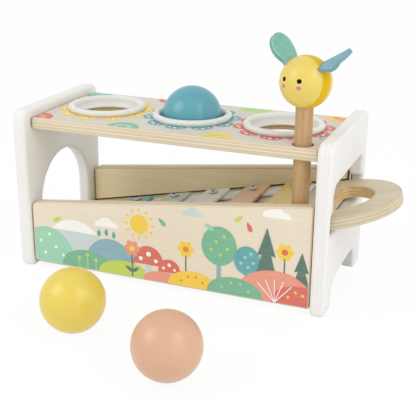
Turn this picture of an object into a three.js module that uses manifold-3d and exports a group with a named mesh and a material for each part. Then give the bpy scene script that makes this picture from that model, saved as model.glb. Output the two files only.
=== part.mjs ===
// Pounding xylophone: a wooden bench whose soft rings let balls drop on a sloping pull-out xylophone.
// Millimetres, Z up. The bench is drawn round its own centre on the floor, with X along its length.
import * as THREE from 'three';
import { mergeVertices } from 'three/addons/utils/BufferGeometryUtils.js';
import Module from 'manifold-3d';

// Bench: end panels
const INNER_LENGTH = 252;
const END_THICKNESS = 12;
const END_DEPTH = 128;
const END_HEIGHT = 141;
const END_EDGE = 3;
const END_TOP_ROUND = 9;
const FOOT_EASE = 2;
const ARCH_WIDTH = 82;
const ARCH_HEIGHT = 92;
const FOOT_ARCH_WIDTH = 84;
const FOOT_ARCH_HEIGHT = 23;
const FOOT_ARCH_ROUND = 14;

// Bench: top board, front panel and back panel
const BOARD_DROP = 7;
const BOARD_SETBACK = 9;
const BOARD_THICKNESS = 10;
const BOARD_EDGE = 2.5;
const BOARD_CORNER_EASE = 1;
const WALL_SETBACK = 3;
const WALL_THICKNESS = 10;
const WALL_LIFT = 5;
const WALL_LOW = 60;
const WALL_HIGH = 91;
const WALL_EDGE = 2;
const WALL_CORNER_EASE = 4;
const GROOVE_DEPTH = 3.5;

// Hidden pins of the butt joints
const PIN_DIAMETER = 6;
const PIN_IN_END = 8;
const PIN_IN_BOARD = 15;
const BOARD_PIN_SPACING = 50;

// Soft rings and balls
const BALL_DIAMETER = 50;
const RING_SPACING = 81.3;
const RING_DIAMETER = 67.5;
const RING_BODY_DIAMETER = 60;
const RING_RISE = 5;
const RING_CREST_INSET = 3.5;
const RING_THROAT_DIAMETER = 55;
const RING_WALL = 2.5;
const RING_SKIRT = 5.5;
const LIP_DIAMETER = 49.2;
const LIP_DEPTH = 3.5;
const LIP_THICKNESS = 1.4;
const YELLOW_BALL_AT = [-33.2, -152.7];
const PEACH_BALL_AT = [60.7, -189.1];

// Xylophone: tray board
const TRAY_SLOPE = THREE.MathUtils.degToRad(12);
const TRAY_HEIGHT = 52;
const TRAY_THICKNESS = 10;
const TRAY_EDGE = 1.8;
const TRAY_CORNER_EASE = 1;
const HANDLE_REACH = 43;
const HANDLE_BAND = 23;
const HANDLE_HOLE_ROUND = 6;
const SLOT_UNDER = 2;
const SLOT_OVER = 2.4;
const SLOT_SIDE = 3.5;
const SLOT_ROUND = 5;
const OPENING_RISE = 20.8;
const OPENING_ROUND = 8;
const STEP_EASE = 1;

// Xylophone: bars, felt and screws
const BAR_COUNT = 5;
const BAR_PITCH = 38;
const BAR_WIDTH = 23;
const BAR_THICKNESS = 2.5;
const BAR_EDGE = 0.5;
const BAR_BACK_GAP = 8;
const BAR_STEP = 5.5;
const BAR_NODE_SHARE = 0.18;
const BAR_FRONT_INSET = 5.5;
const BAR_ROW_CENTRE = 11.7;
const FELT_WIDTH = 20;
const FELT_THICKNESS = 2.3;
const FELT_END = 4;
const FELT_FRONT_INSET = 1.5;
const SCREW_SHANK = 3;
const SCREW_DEPTH = 7;
const SCREW_HEAD = 7.2;
const SCREW_HEAD_HEIGHT = 2.6;

// Mallet
const MALLET_FROM_END = 16.5;
const MALLET_FROM_WALL = 7.5;
const MALLET_TURN = THREE.MathUtils.degToRad(-19.6);
const HANDLE_DIAMETER = 13.6;
const HANDLE_LENGTH = 105;
const HANDLE_END_ROUND = 1.5;
const HEAD_DIAMETER = 39.8;
const SOCKET_DEPTH = 20;
const WING_SEAT = THREE.MathUtils.degToRad(43);
const WING_TAB = 13.5;
const WING_TUCK = 6;
const WING_REACH = 25;
const WING_WIDTH = 17.5;
const WING_WIDEST_AT = 0.45;
const WING_THICKNESS = 3;
// How each wing was set: raised from level, swept back, and rolled about its own length.
const wingSet = (...degrees) => {
  const [raise, sweep, roll] = degrees.map((turn) => THREE.MathUtils.degToRad(turn));
  return { raise, sweep, roll };
};
const WING_SETS = { left: wingSet(47, 10, 5), right: wingSet(32, 5, 18) };

// Clearances
const SEAT = 0.25;
const PIN_CLEARANCE = 0.2;
const SCREW_CLEARANCE = 0.4;
const RING_CLEARANCE = 0.25;
const RUN_UNDER = 0.3;
const RUN_OVER = 1.4;
const RUN_SIDE = 0.5;
const MALLET_CLEARANCE = 1.25;
const MALLET_LANE = 0.5;
const SLOT_CLEARANCE = 0.2;

// Facets
const CHORD = 0.15;
const EDGE_STEPS = 2;
const RING_STEPS = 32;
const BALL_STEPS = [24, 16];
const PIN_STEPS = 10;

const WOOD = { color: '#e9d9bb', roughness: 0.6, metalness: 0 };
const WHITE_PAINT = { color: '#eeede9', roughness: 0.5, metalness: 0 };
const RING_PLASTIC = { color: '#f3f2ee', roughness: 0.45, metalness: 0 };
const FELT = { color: '#dfe1df', roughness: 0.95, metalness: 0 };
const ZINC = { color: '#c9ccce', roughness: 0.3, metalness: 1 };
const BEECH = { color: '#c8a67b', roughness: 0.55, metalness: 0 };
const BAR_COLOURS = ['#6fa9a8', '#9db0a4', '#c9ced2', '#dcb39b', '#e3c75a'];
const BALL_BLUE = { color: '#64adb8', roughness: 0.4, metalness: 0 };
const BALL_YELLOW = { color: '#e8cf5f', roughness: 0.4, metalness: 0 };
const BALL_PEACH = { color: '#e3b392', roughness: 0.4, metalness: 0 };
const WING_GREEN = { color: '#8cc0b1', roughness: 0.95, metalness: 0 };
const WING_BLUE = { color: '#8aaeba', roughness: 0.95, metalness: 0 };

// Places that several pieces share
const innerX = INNER_LENGTH / 2;
const outerX = innerX + END_THICKNESS;
const boardTop = END_HEIGHT - BOARD_DROP;
const boardHalf = END_DEPTH / 2 - BOARD_SETBACK;
const wallOuterY = END_DEPTH / 2 - WALL_SETBACK;
const wallInnerY = wallOuterY - WALL_THICKNESS;
const wallMidY = (wallOuterY + wallInnerY) / 2;
const malletAt = [innerX - MALLET_FROM_END, MALLET_FROM_WALL - wallInnerY];
const trayHalf = wallInnerY + GROOVE_DEPTH - RUN_SIDE;
const trayTopAt = (x) => TRAY_HEIGHT + x * Math.tan(TRAY_SLOPE);
const alongTray = (x) => x / Math.cos(TRAY_SLOPE);
const feltBase = SEAT;
const barBase = feltBase + FELT_THICKNESS + SEAT;
const screwBase = barBase + BAR_THICKNESS + SEAT;
const barRowFront = malletAt[1] + HANDLE_DIAMETER / 2 + MALLET_LANE;
const barRowBack = wallInnerY - BAR_BACK_GAP;
const barRowY = (barRowFront + barRowBack) / 2;
const longestBar = barRowBack - barRowFront;
const bars = Array.from({ length: BAR_COUNT }, (_, i) => {
  const length = longestBar - BAR_STEP * (BAR_COUNT - 1 - i);
  return {
    name: `bar_${i + 1}`,
    colour: BAR_COLOURS[i % BAR_COLOURS.length],
    x: BAR_ROW_CENTRE + BAR_PITCH * (i - (BAR_COUNT - 1) / 2),
    length,
    front: length / 2 - BAR_FRONT_INSET,
    back: length * (0.5 - BAR_NODE_SHARE),
  };
});

const wasm = await Module();
wasm.setup();

// Joins a form's faces along their shared edges, so that it is one closed skin.
function weld(geometry) {
  const bare = new THREE.BufferGeometry();
  bare.setAttribute('position', (geometry.index ? geometry.toNonIndexed() : geometry).getAttribute('position'));
  return mergeVertices(bare, 1e-3);
}

// Turns a welded form into a solid that can be cut.
function toSolid(geometry) {
  return new wasm.Manifold(
    new wasm.Mesh({
      numProp: 3,
      vertProperties: geometry.getAttribute('position').array,
      triVerts: new Uint32Array(geometry.index.array),
    }),
  );
}

// Takes tools away from a geometry, one after another.
function cut(geometry, tools) {
  const solid = tools.reduce((left, tool) => left.subtract(toSolid(tool)), toSolid(geometry));
  const mesh = solid.getMesh();
  const result = new THREE.BufferGeometry();
  result.setAttribute('position', new THREE.BufferAttribute(new Float32Array(mesh.vertProperties), 3));
  result.setIndex(new THREE.BufferAttribute(new Uint32Array(mesh.triVerts), 1));
  return result;
}

// Points along an arc, close enough together to keep to its true form.
function arc([x, y], radius, from, to) {
  const step = 2 * Math.acos(1 - CHORD / radius);
  const steps = Math.max(2, Math.ceil(Math.abs(to - from) / step));
  return Array.from({ length: steps + 1 }, (_, k) => {
    const angle = from + ((to - from) * k) / steps;
    return new THREE.Vector2(x + radius * Math.cos(angle), y + radius * Math.sin(angle));
  });
}

// A closed outline through corners [x, y, radius], each corner rounded.
function outline(corners) {
  const spot = (i) => new THREE.Vector2(corners.at(i % corners.length)[0], corners.at(i % corners.length)[1]);
  return corners.flatMap(([, , radius], i) => {
    const here = spot(i);
    const back = spot(i - 1).sub(here).normalize();
    const ahead = spot(i + 1).sub(here).normalize();
    const half = Math.acos(THREE.MathUtils.clamp(back.dot(ahead), -1, 1)) / 2;
    const toCentre = back.clone().add(ahead).normalize();
    const centre = here.clone().addScaledVector(toCentre, radius / Math.sin(half));
    const start = here.clone().addScaledVector(back, radius / Math.tan(half)).sub(centre).angle();
    const sweep = -Math.sign(back.cross(ahead)) * (Math.PI - 2 * half);
    return arc([centre.x, centre.y], radius, start, start + sweep);
  });
}

// A board of one thickness, from Z 0 up, with rounded arrises.
function board(points, thickness, edge, holes = []) {
  const shape = new THREE.Shape(points);
  shape.holes = holes.map((hole) => new THREE.Path(hole));
  const geometry = new THREE.ExtrudeGeometry(shape, {
    depth: thickness - 2 * edge,
    bevelThickness: edge,
    bevelSize: edge,
    bevelOffset: -edge,
    bevelSegments: EDGE_STEPS,
  });
  return weld(geometry).translate(0, 0, edge);
}

// A sharp-edged sheet of one thickness, from Z 0 up.
function sheet(shape, thickness) {
  return weld(new THREE.ExtrudeGeometry(shape, { depth: thickness, bevelEnabled: false, curveSegments: 5 }));
}

// A turned form about Z from a profile of [radius, height] points.
function turned(profile, steps) {
  const points = profile.map(([radius, height]) => new THREE.Vector2(radius, height));
  return weld(new THREE.LatheGeometry(points, steps)).rotateX(Math.PI / 2);
}

// A plain round tool or rod along Z, from one height to another.
function rod(diameter, low, high, steps) {
  const geometry = new THREE.CylinderGeometry(diameter / 2, diameter / 2, high - low, steps);
  return weld(geometry).rotateX(Math.PI / 2).translate(0, 0, (low + high) / 2);
}

function sphere(diameter) {
  return weld(new THREE.SphereGeometry(diameter / 2, ...BALL_STEPS)).rotateX(Math.PI / 2);
}

function block(low, high) {
  const size = high.map((value, i) => value - low[i]);
  const centre = high.map((value, i) => (value + low[i]) / 2);
  return weld(new THREE.BoxGeometry(...size)).translate(...centre);
}

const group = (parent) => {
  const made = new THREE.Group();
  parent.add(made);
  return made;
};

function piece(parent, name, geometry, look) {
  const mesh = new THREE.Mesh(geometry, new THREE.MeshStandardMaterial(look));
  mesh.name = name;
  parent.add(mesh);
  return mesh;
}

const part = new THREE.Group();
const set = group(part);
const bench = group(set);

// Each pin joins an end panel to a board, and sits in one blind hole in each.
const pinPlaces = (side) => {
  const clearTop = trayTopAt(-innerX) + RUN_OVER;
  const quarter = (WALL_LOW - clearTop) / 4;
  const wallHeights = { low: clearTop + quarter, high: clearTop + 3 * quarter };
  const places = [];
  for (const [face, sign] of [['front', -1], ['back', 1]]) {
    places.push({
      name: `pin_board_${side}_${face}`,
      at: [(sign * BOARD_PIN_SPACING) / 2, boardTop - BOARD_THICKNESS / 2],
      into: 'board',
    });
    for (const [level, height] of Object.entries(wallHeights)) {
      places.push({ name: `pin_${face}_${side}_${level}`, at: [sign * wallMidY, height], into: face });
    }
  }
  return places;
};

const pins = [['left', -1], ['right', 1]].flatMap(([side, sign]) =>
  pinPlaces(side).map((place) => ({ ...place, side, sign })),
);

// A rod along X at a pin's place; extra widens and lengthens it into the tool for its holes.
function pinRod(pin, extra) {
  const long = rod(PIN_DIAMETER + 2 * extra, -PIN_IN_BOARD - extra, PIN_IN_END + extra, PIN_STEPS);
  return long.rotateY((pin.sign * Math.PI) / 2).translate(pin.sign * innerX, ...pin.at);
}

const pinHoles = (wanted) => pins.filter(wanted).map((pin) => pinRod(pin, PIN_CLEARANCE));

// End panels stand in the YZ plane; the arch between the feet is part of the outline.
function endPanel(side, arch, holes) {
  const half = END_DEPTH / 2;
  const foot = END_EDGE + FOOT_EASE;
  const points = outline([
    [half, 0, foot],
    [half, END_HEIGHT, END_TOP_ROUND],
    [-half, END_HEIGHT, END_TOP_ROUND],
    [-half, 0, foot],
    [-arch.width / 2, 0, foot],
    [-arch.width / 2, arch.height, arch.round],
    [arch.width / 2, arch.height, arch.round],
    [arch.width / 2, 0, foot],
  ]);
  const standing = new THREE.Matrix4().makeBasis(
    new THREE.Vector3(0, 1, 0),
    new THREE.Vector3(0, 0, 1),
    new THREE.Vector3(1, 0, 0),
  );
  const geometry = board(points, END_THICKNESS, END_EDGE, holes).applyMatrix4(standing);
  geometry.translate(side === 'left' ? -outerX : innerX, 0, 0);
  return cut(geometry, pinHoles((pin) => pin.side === side));
}

const exitArch = { width: ARCH_WIDTH, height: ARCH_HEIGHT, round: ARCH_WIDTH / 2 - CHORD };
piece(bench, 'left_end_panel', endPanel('left', exitArch, []), WHITE_PAINT);

// The stepped opening: a wide slot for the tray, and a narrower rise above it for the bars.
const slotLow = trayTopAt(innerX) - TRAY_THICKNESS / Math.cos(TRAY_SLOPE) - SLOT_UNDER;
const slotHigh = trayTopAt(outerX) + SLOT_OVER;
const slotHalf = trayHalf + SLOT_SIDE;
const riseHalf = wallInnerY;
const stepRound = Math.min(END_EDGE + STEP_EASE, (slotHalf - riseHalf) / 2);
const opening = outline([
  [slotHalf, slotLow, SLOT_ROUND],
  [slotHalf, slotHigh, (slotHalf - riseHalf) / 2],
  [riseHalf, slotHigh, stepRound],
  [riseHalf, slotHigh + OPENING_RISE, OPENING_ROUND],
  [-riseHalf, slotHigh + OPENING_RISE, OPENING_ROUND],
  [-riseHalf, slotHigh, stepRound],
  [-slotHalf, slotHigh, (slotHalf - riseHalf) / 2],
  [-slotHalf, slotLow, SLOT_ROUND],
]);
const footArch = { width: FOOT_ARCH_WIDTH, height: FOOT_ARCH_HEIGHT, round: FOOT_ARCH_ROUND };
piece(bench, 'right_end_panel', endPanel('right', footArch, [opening]), WHITE_PAINT);

// Top board, with a hole for each ring and one for the mallet.
const ringNames = ['left', 'middle', 'right'];
const ringX = (i) => RING_SPACING * (i - (ringNames.length - 1) / 2);
const boardEnd = innerX - SEAT;
const boardCorner = BOARD_EDGE + BOARD_CORNER_EASE;
const boardShape = outline([
  [boardEnd, -boardHalf, boardCorner],
  [boardEnd, boardHalf, boardCorner],
  [-boardEnd, boardHalf, boardCorner],
  [-boardEnd, -boardHalf, boardCorner],
]);
const boardBase = boardTop - BOARD_THICKNESS;
const through = [boardBase - BOARD_THICKNESS, boardTop + BOARD_THICKNESS];
const ringHole = RING_BODY_DIAMETER + 2 * RING_CLEARANCE;
const malletHole = HANDLE_DIAMETER + 2 * MALLET_CLEARANCE;
const topBoard = cut(board(boardShape, BOARD_THICKNESS, BOARD_EDGE).translate(0, 0, boardBase), [
  ...ringNames.map((_, i) => rod(ringHole, ...through, RING_STEPS).translate(ringX(i), 0, 0)),
  rod(malletHole, ...through, 2 * PIN_STEPS).translate(...malletAt, 0),
  ...pinHoles((pin) => pin.into === 'board'),
]);
piece(bench, 'top_board', topBoard, WOOD);

// Front and back panels: wedges that follow the slope of the tray, with its groove in the inner face.
function wall(face, sign) {
  const round = WALL_EDGE + WALL_CORNER_EASE;
  const square = WALL_EDGE + WALL_CORNER_EASE / 4;
  const points = outline([
    [-boardEnd, WALL_LIFT, round],
    [boardEnd, WALL_LIFT, square],
    [boardEnd, WALL_HIGH, square],
    [-boardEnd, WALL_LOW, round],
  ]);
  const geometry = board(points, WALL_THICKNESS, WALL_EDGE).rotateX(Math.PI / 2);
  geometry.translate(0, sign > 0 ? wallOuterY : -wallInnerY, 0);
  const reach = alongTray(outerX);
  const side = [sign * (wallInnerY - WALL_THICKNESS), sign * (wallInnerY + GROOVE_DEPTH)];
  const groove = block(
    [-reach, Math.min(...side), -TRAY_THICKNESS - RUN_UNDER],
    [reach, Math.max(...side), RUN_OVER],
  );
  groove.rotateY(-TRAY_SLOPE).translate(0, 0, TRAY_HEIGHT);
  return cut(geometry, [groove, ...pinHoles((pin) => pin.into === face)]);
}

piece(bench, 'front_panel', wall('front', -1), WOOD);
piece(bench, 'back_panel', wall('back', 1), WOOD);

for (const pin of pins) {
  piece(bench, pin.name, pinRod(pin, 0), BEECH);
}

// Soft rings: a round rim on the board, a funnel, a lip under the ball and a short skirt in the hole.
const ringOuter = RING_DIAMETER / 2;
const ringBody = RING_BODY_DIAMETER / 2;
const ringCrest = ringOuter - RING_CREST_INSET;
const ringThroat = RING_THROAT_DIAMETER / 2;
const lip = LIP_DIAMETER / 2;
const quarterRound = (centre, rx, ry, from, to) =>
  [0, 1, 2, 3].map((k) => {
    const angle = from + ((to - from) * k) / 3;
    return [centre[0] + rx * Math.cos(angle), centre[1] + ry * Math.sin(angle)];
  });
const rimHalf = (RING_RISE - SEAT) / 2;
const ringProfile = [
  [ringBody - RING_WALL, -RING_SKIRT],
  [ringBody, -RING_SKIRT],
  [ringBody, SEAT],
  ...quarterRound([ringCrest, SEAT + rimHalf], RING_CREST_INSET, rimHalf, -Math.PI / 2, 0),
  ...quarterRound([ringCrest, SEAT + rimHalf], RING_CREST_INSET, rimHalf, 0, Math.PI / 2).slice(1),
  ...quarterRound([ringCrest, SEAT], ringCrest - ringThroat, 2 * rimHalf, Math.PI / 2, Math.PI).slice(1),
  [lip, -LIP_DEPTH],
  [lip, -LIP_DEPTH - LIP_THICKNESS],
  [ringBody - RING_WALL, -RING_SKIRT],
];
ringNames.forEach((name, i) => {
  const ring = turned(ringProfile, RING_STEPS).translate(ringX(i), 0, boardTop);
  piece(bench, `ring_${name}`, ring, RING_PLASTIC);
});

// Balls: one rests on the lip of the middle ring, two lie on the floor in front.
const ballRadius = BALL_DIAMETER / 2;
const ballOnLip = boardTop - LIP_DEPTH + Math.sqrt((ballRadius + SEAT) ** 2 - lip ** 2);
piece(bench, 'ball_blue', sphere(BALL_DIAMETER).translate(ringX(1), 0, ballOnLip), BALL_BLUE);
piece(bench, 'ball_yellow', sphere(BALL_DIAMETER).translate(...YELLOW_BALL_AT, ballRadius), BALL_YELLOW);
piece(bench, 'ball_peach', sphere(BALL_DIAMETER).translate(...PEACH_BALL_AT, ballRadius), BALL_PEACH);

// The xylophone is drawn flat, with its upper face at Z 0, and tilted as a whole.
const xylophone = group(bench);
xylophone.position.z = TRAY_HEIGHT;
xylophone.rotation.y = -TRAY_SLOPE;

const trayLeft = -alongTray(innerX - SEAT);
const handleCentre = alongTray(outerX) + HANDLE_REACH - trayHalf;
const holeRadius = trayHalf - HANDLE_BAND;
const trayCorner = TRAY_EDGE + TRAY_CORNER_EASE;
const trayShape = outline([
  [trayLeft, -trayHalf, trayCorner],
  [handleCentre + trayHalf, -trayHalf, trayHalf - CHORD],
  [handleCentre + trayHalf, trayHalf, trayHalf - CHORD],
  [trayLeft, trayHalf, trayCorner],
]);
// The grip hole is a half round inside the handle's own, with eased corners on its straight side.
const holeEase = { x: HANDLE_HOLE_ROUND, y: Math.sqrt(holeRadius * (holeRadius - 2 * HANDLE_HOLE_ROUND)) };
const holeTurn = Math.atan2(holeEase.y, holeEase.x);
const handleHole = [
  ...arc([handleCentre, 0], holeRadius, -holeTurn, holeTurn),
  ...arc([handleCentre + holeEase.x, holeEase.y], HANDLE_HOLE_ROUND, holeTurn, Math.PI).slice(1),
  ...arc([handleCentre + holeEase.x, -holeEase.y], HANDLE_HOLE_ROUND, Math.PI, 2 * Math.PI - holeTurn).slice(0, -1),
];
const screwPlaces = bars.flatMap((bar, i) =>
  [['front', -1], ['back', 1]].map(([face, sign]) => ({
    name: `screw_${face}_${i + 1}`,
    bar: bar.name,
    face,
    at: [bar.x, barRowY + sign * bar[face]],
  })),
);
const screwHole = (place) =>
  rod(SCREW_SHANK + 2 * SCREW_CLEARANCE, -SCREW_DEPTH - SEAT, screwBase, PIN_STEPS).translate(...place.at, 0);
const screwHoles = (wanted) => screwPlaces.filter(wanted).map(screwHole);
const trayBlank = board(trayShape, TRAY_THICKNESS, TRAY_EDGE, [handleHole]);
const tray = cut(trayBlank.translate(0, 0, -TRAY_THICKNESS), screwHoles(() => true));
piece(xylophone, 'tray_board', tray, WOOD);

// Felt strips lie under the bars' screws and follow the taper of the row: the back one along the screws,
// the front one along the bars' ends.
const [firstBar, lastBar] = [bars[0], bars.at(-1)];
const alongRow = (x, measure) =>
  THREE.MathUtils.mapLinear(x, firstBar.x, lastBar.x, firstBar[measure], lastBar[measure]);
const feltMiddle = {
  front: (x) => barRowY - alongRow(x, 'length') / 2 + FELT_FRONT_INSET + FELT_WIDTH / 2,
  back: (x) => barRowY + alongRow(x, 'back'),
};
for (const [face, middle] of Object.entries(feltMiddle)) {
  const left = firstBar.x - BAR_WIDTH / 2 - FELT_END;
  const right = lastBar.x + BAR_WIDTH / 2 + FELT_END;
  const points = [
    [left, middle(left) - FELT_WIDTH / 2],
    [right, middle(right) - FELT_WIDTH / 2],
    [right, middle(right) + FELT_WIDTH / 2],
    [left, middle(left) + FELT_WIDTH / 2],
  ].map(([x, y]) => new THREE.Vector2(x, y));
  const strip = sheet(new THREE.Shape(points), FELT_THICKNESS);
  const holed = cut(strip.translate(0, 0, feltBase), screwHoles((place) => place.face === face));
  piece(xylophone, `felt_${face}`, holed, FELT);
}

for (const bar of bars) {
  const points = [
    [-BAR_WIDTH / 2, -bar.length / 2],
    [BAR_WIDTH / 2, -bar.length / 2],
    [BAR_WIDTH / 2, bar.length / 2],
    [-BAR_WIDTH / 2, bar.length / 2],
  ].map(([x, y]) => new THREE.Vector2(x, y));
  const blank = board(points, BAR_THICKNESS, BAR_EDGE).translate(bar.x, barRowY, barBase);
  const holed = cut(blank, screwHoles((place) => place.bar === bar.name));
  piece(xylophone, bar.name, holed, { color: bar.colour, roughness: 0.35, metalness: 0.3 });
}

// Screws: a domed head on the bar, and a shank through bar and felt into the tray.
const headRadius = SCREW_HEAD / 2;
const screwProfile = [
  [0, -SCREW_DEPTH],
  [SCREW_SHANK / 2, -SCREW_DEPTH + SCREW_SHANK / 2],
  [SCREW_SHANK / 2, screwBase],
  [headRadius, screwBase],
  ...quarterRound([0, screwBase], headRadius, SCREW_HEAD_HEIGHT, Math.PI / 10, Math.PI / 2),
];
screwProfile.at(-1)[0] = 0;
for (const place of screwPlaces) {
  const screw = turned(screwProfile, PIN_STEPS).translate(...place.at, 0);
  piece(xylophone, place.name, screw, ZINC);
}

// The mallet stands on the tray, through its hole in the top board, and faces half left.
const mallet = group(bench);
const handleFoot = trayTopAt(malletAt[0] + HANDLE_DIAMETER / 2) + SEAT;
mallet.position.set(...malletAt, handleFoot);
mallet.rotation.z = MALLET_TURN;

const handleRadius = HANDLE_DIAMETER / 2;
const handleProfile = [
  [0, 0],
  [handleRadius - HANDLE_END_ROUND, 0],
  [handleRadius, HANDLE_END_ROUND],
  [handleRadius, HANDLE_LENGTH],
  [0, HANDLE_LENGTH],
];
piece(mallet, 'mallet_handle', turned(handleProfile, 2 * PIN_STEPS), BEECH);

// Each wing is a felt petal whose tab sits in a slot of the head.
const headRound = HEAD_DIAMETER / 2;
const headMiddle = HANDLE_LENGTH + SEAT - SOCKET_DEPTH + headRound;
const wingPoints = () => {
  const shape = new THREE.Shape();
  const neck = WING_THICKNESS / 2;
  const widest = THREE.MathUtils.lerp(neck, WING_REACH, WING_WIDEST_AT);
  const swell = (neck + widest) / 2;
  shape.moveTo(-WING_TUCK, -WING_TAB / 2);
  shape.lineTo(neck, -WING_TAB / 2);
  shape.quadraticCurveTo(swell, -WING_WIDTH / 2, widest, -WING_WIDTH / 2);
  shape.quadraticCurveTo(WING_REACH, -WING_WIDTH / 2, WING_REACH, 0);
  shape.quadraticCurveTo(WING_REACH, WING_WIDTH / 2, widest, WING_WIDTH / 2);
  shape.quadraticCurveTo(swell, WING_WIDTH / 2, neck, WING_TAB / 2);
  shape.lineTo(-WING_TUCK, WING_TAB / 2);
  shape.closePath();
  return shape;
};
// Stands a flat form, drawn outwards along X from the head's skin, on one side of the head.
function onHead(geometry, side) {
  const { raise, sweep, roll } = WING_SETS[side];
  const sign = side === 'left' ? -1 : 1;
  geometry.rotateX(sign * roll).rotateY(-raise).rotateZ(sign > 0 ? sweep : Math.PI - sweep);
  const [out, up] = [Math.cos(WING_SEAT), Math.sin(WING_SEAT)].map((share) => headRound * share);
  return geometry.translate(sign * out, 0, headMiddle + up);
}

const wingSlot = (side) => {
  const wide = WING_TAB / 2 + SLOT_CLEARANCE;
  const thick = WING_THICKNESS / 2 + SLOT_CLEARANCE;
  return onHead(block([-WING_TUCK - SLOT_CLEARANCE, -wide, -thick], [WING_REACH, wide, thick]), side);
};
const socket = rod(
  HANDLE_DIAMETER + 2 * PIN_CLEARANCE,
  headMiddle - HEAD_DIAMETER,
  HANDLE_LENGTH + SEAT,
  2 * PIN_STEPS,
);
const headCuts = [socket, wingSlot('left'), wingSlot('right')];
const head = cut(sphere(HEAD_DIAMETER).translate(0, 0, headMiddle), headCuts);
piece(mallet, 'mallet_head', head, BALL_YELLOW);
for (const [side, look] of [['left', WING_GREEN], ['right', WING_BLUE]]) {
  const petal = sheet(wingPoints(), WING_THICKNESS);
  piece(mallet, `wing_${side}`, onHead(petal.translate(0, 0, -WING_THICKNESS / 2), side), look);
}

// The whole set is centred on its own footprint.
const footprint = new THREE.Box3().setFromObject(set, true).getCenter(new THREE.Vector3());
set.position.set(-footprint.x, -footprint.y, 0);

export default part;
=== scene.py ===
from math import acos, atan2, ceil, cos, degrees, pi, radians, sin, sqrt, tan

import bmesh
import bpy
from mathutils import Matrix, Vector, noise
from mathutils.geometry import tessellate_polygon


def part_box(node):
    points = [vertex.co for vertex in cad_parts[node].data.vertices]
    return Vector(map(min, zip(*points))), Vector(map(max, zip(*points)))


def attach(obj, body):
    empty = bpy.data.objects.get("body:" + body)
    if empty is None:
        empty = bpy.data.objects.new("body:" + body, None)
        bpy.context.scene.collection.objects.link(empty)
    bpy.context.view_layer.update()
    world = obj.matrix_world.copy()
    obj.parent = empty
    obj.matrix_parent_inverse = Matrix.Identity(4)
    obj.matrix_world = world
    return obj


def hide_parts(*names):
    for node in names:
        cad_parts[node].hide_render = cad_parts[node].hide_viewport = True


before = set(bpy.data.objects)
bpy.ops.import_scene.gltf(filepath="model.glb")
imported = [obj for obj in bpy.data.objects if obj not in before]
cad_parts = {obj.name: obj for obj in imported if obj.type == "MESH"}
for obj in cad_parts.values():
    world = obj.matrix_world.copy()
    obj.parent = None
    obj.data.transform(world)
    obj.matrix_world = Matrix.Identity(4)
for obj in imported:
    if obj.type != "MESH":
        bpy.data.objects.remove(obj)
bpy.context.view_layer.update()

# End panels.
# Two uprights of 12 mm plywood, routed to shape with rounded arrises, filled and sprayed white.
# They stand on two feet each and carry the three boards between them on hidden wooden pins.
MM = 0.001
END_THICKNESS = 12
END_HALF_DEPTH = 64
END_HEIGHT = 141
END_ARRIS = 3
INNER_HALF_LENGTH = 126
FACET_SAG = 0.02
left_low, left_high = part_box("left_end_panel")
right_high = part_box("right_end_panel")[1]
BENCH = Vector(((left_low.x + right_high.x) / 2, (left_low.y + left_high.y) / 2, 0))


def outline(corners):
    """Points and outward normals of a line through corners of (x, y, radius).

    The line goes anticlockwise round wood and clockwise round a hole."""
    line = []
    for i, (x, y, radius) in enumerate(corners):
        here = Vector((x, y))
        back = (Vector(corners[i - 1][:2]) - here).normalized()
        ahead = (Vector(corners[(i + 1) % len(corners)][:2]) - here).normalized()
        half = acos(max(-1, min(1, back.dot(ahead)))) / 2
        centre = here + (back + ahead).normalized() * (radius / sin(half))
        start = here + back * (radius / tan(half)) - centre
        outward = 1 if back.cross(ahead) < 0 else -1
        sweep = outward * (pi - 2 * half)
        steps = max(3, ceil(abs(sweep) / (2 * acos(1 - FACET_SAG / radius))))
        for k in range(steps + 1):
            spoke = Matrix.Rotation(sweep * k / steps, 2) @ start
            line.append((centre + spoke, spoke.normalized() * outward))
    return line


def linked(name, data):
    """A new object of a mesh, lamp or camera, in the scene."""
    piece = bpy.data.objects.new(name, data)
    bpy.context.scene.collection.objects.link(piece)
    return piece


def plate(name, lines, thickness, rounding=6):
    """A board from (outline, edge radius) pairs, its own first and then its holes, with both arrises rounded.

    The walls of the holes take the board's second material."""
    places, faces, rims, walls = [], [], [], []
    for line, edge in lines:
        rings = []
        for side in (-1, 1):
            for k in range(rounding + 1):
                turn = pi / 2 * (k / rounding if side < 0 else 1 - k / rounding)
                inset = edge * (1 - sin(turn))
                height = side * (thickness / 2 - edge * (1 - cos(turn)))
                rings.append(range(len(places), len(places) + len(line)))
                places += [(*(point - normal * inset), height) for point, normal in line]
        for low, high in zip(rings, rings[1:]):
            for i in range(len(line)):
                j = (i + 1) % len(line)
                faces.append((low[i], low[j], high[j], high[i]))
                walls.append(1 if rims else 0)
        rims.append((rings[0], rings[-1]))
    for side in (0, 1):
        loops = [list(rim[side]) for rim in rims]
        order = [i for loop in loops for i in loop]
        for triangle in tessellate_polygon([[Vector(places[i]) for i in loop] for loop in loops]):
            a, b, c = (order[i] for i in triangle)
            area = (Vector(places[b]) - Vector(places[a])).cross(Vector(places[c]) - Vector(places[a])).z
            faces.append((a, b, c) if (area > 0) == (side == 1) else (a, c, b))
    mesh = bpy.data.meshes.new(name)
    mesh.from_pydata([Vector(p) * MM for p in places], [], faces)
    mesh.polygons.foreach_set("material_index", walls + [0] * (len(faces) - len(walls)))
    mesh.validate()
    return linked(name, mesh)


def soften(piece):
    """Smooth shading that keeps flat faces flat and sharp corners sharp."""
    piece.data.shade_smooth()
    piece.data.set_sharp_from_angle(angle=radians(38))
    weighted = piece.modifiers.new("flat_faces", "WEIGHTED_NORMAL")
    weighted.keep_sharp = True
    weighted.weight = 80


def wear(piece, *materials):
    """Gives a bare piece its materials, in the order of their indices."""
    for material in materials:
        piece.data.materials.append(material)


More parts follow.
